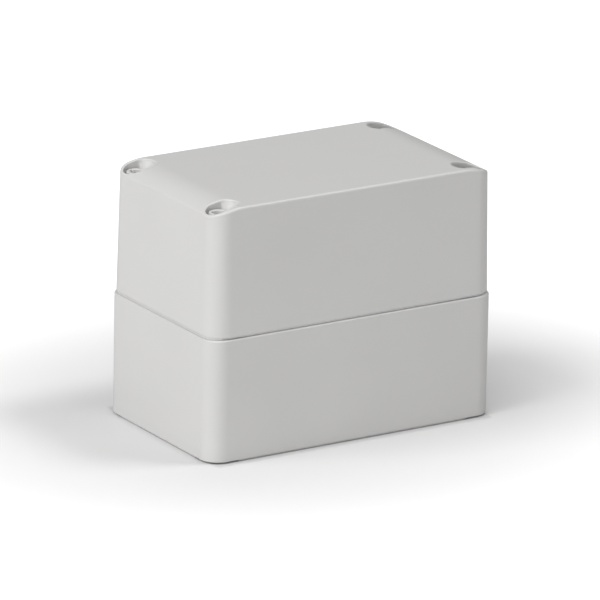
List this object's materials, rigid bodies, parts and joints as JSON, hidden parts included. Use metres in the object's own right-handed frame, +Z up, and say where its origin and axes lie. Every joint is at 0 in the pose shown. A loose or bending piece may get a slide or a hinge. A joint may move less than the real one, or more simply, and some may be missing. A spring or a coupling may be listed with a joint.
{
  "type": "plastic project box",
  "caption": "Deep rectangular plastic enclosure with a tall drafted lid on a straight base, curved lid ends and recessed corner screws.",
  "frame": {"origin": "centre of the underside, on the surface the box stands on", "axes": "+X along the box's long side, +Y across it towards the back, +Z up"},
  "size_m": [0.132, 0.08, 0.1036],
  "materials": {
    "shell": "light grey moulded plastic, fine satin grain",
    "screw_plastic": "light grey moulded plastic, slightly smoother than the shell",
    "seal": "dark grey foamed elastomer",
    "nylon": "natural nylon"
  },
  "bodies": {
    "base": {"base": "shell"},
    "lid": {"lid": "shell", "gasket": "seal"},
    "retainer_front_left": {"retainer_front_left": "nylon"},
    "screw_front_left": {"screw_front_left": "screw_plastic"},
    "retainer_front_right": {"retainer_front_right": "nylon"},
    "screw_front_right": {"screw_front_right": "screw_plastic"},
    "retainer_back_left": {"retainer_back_left": "nylon"},
    "screw_back_left": {"screw_back_left": "screw_plastic"},
    "retainer_back_right": {"retainer_back_right": "nylon"},
    "screw_back_right": {"screw_back_right": "screw_plastic"}
  },
  "joints": [
    {"name": "lid_lift", "type": "slide", "parent": "base", "child": "lid", "axis": [0, 0, 1], "range_m": [0, 0.07]},
    {"name": "rise_front_left", "type": "slide", "parent": "lid", "child": "retainer_front_left", "axis": [0, 0, 1], "range_m": [0, 0.01]},
    {"name": "turn_front_left", "type": "hinge", "parent": "retainer_front_left", "child": "screw_front_left", "pos_m": [-0.0582, -0.0312, 0.1005], "axis": [0, 0, 1], "range_deg": [0, 1440]},
    {"name": "rise_front_right", "type": "slide", "parent": "lid", "child": "retainer_front_right", "axis": [0, 0, 1], "range_m": [0, 0.01]},
    {"name": "turn_front_right", "type": "hinge", "parent": "retainer_front_right", "child": "screw_front_right", "pos_m": [0.0582, -0.0312, 0.1005], "axis": [0, 0, 1], "range_deg": [0, 1440]},
    {"name": "rise_back_left", "type": "slide", "parent": "lid", "child": "retainer_back_left", "axis": [0, 0, 1], "range_m": [0, 0.01]},
    {"name": "turn_back_left", "type": "hinge", "parent": "retainer_back_left", "child": "screw_back_left", "pos_m": [-0.0582, 0.0312, 0.1005], "axis": [0, 0, 1], "range_deg": [0, 1440]},
    {"name": "rise_back_right", "type": "slide", "parent": "lid", "child": "retainer_back_right", "axis": [0, 0, 1], "range_m": [0, 0.01]},
    {"name": "turn_back_right", "type": "hinge", "parent": "retainer_back_right", "child": "screw_back_right", "pos_m": [0.0582, 0.0312, 0.1005], "axis": [0, 0, 1], "range_deg": [0, 1440]}
  ]
}
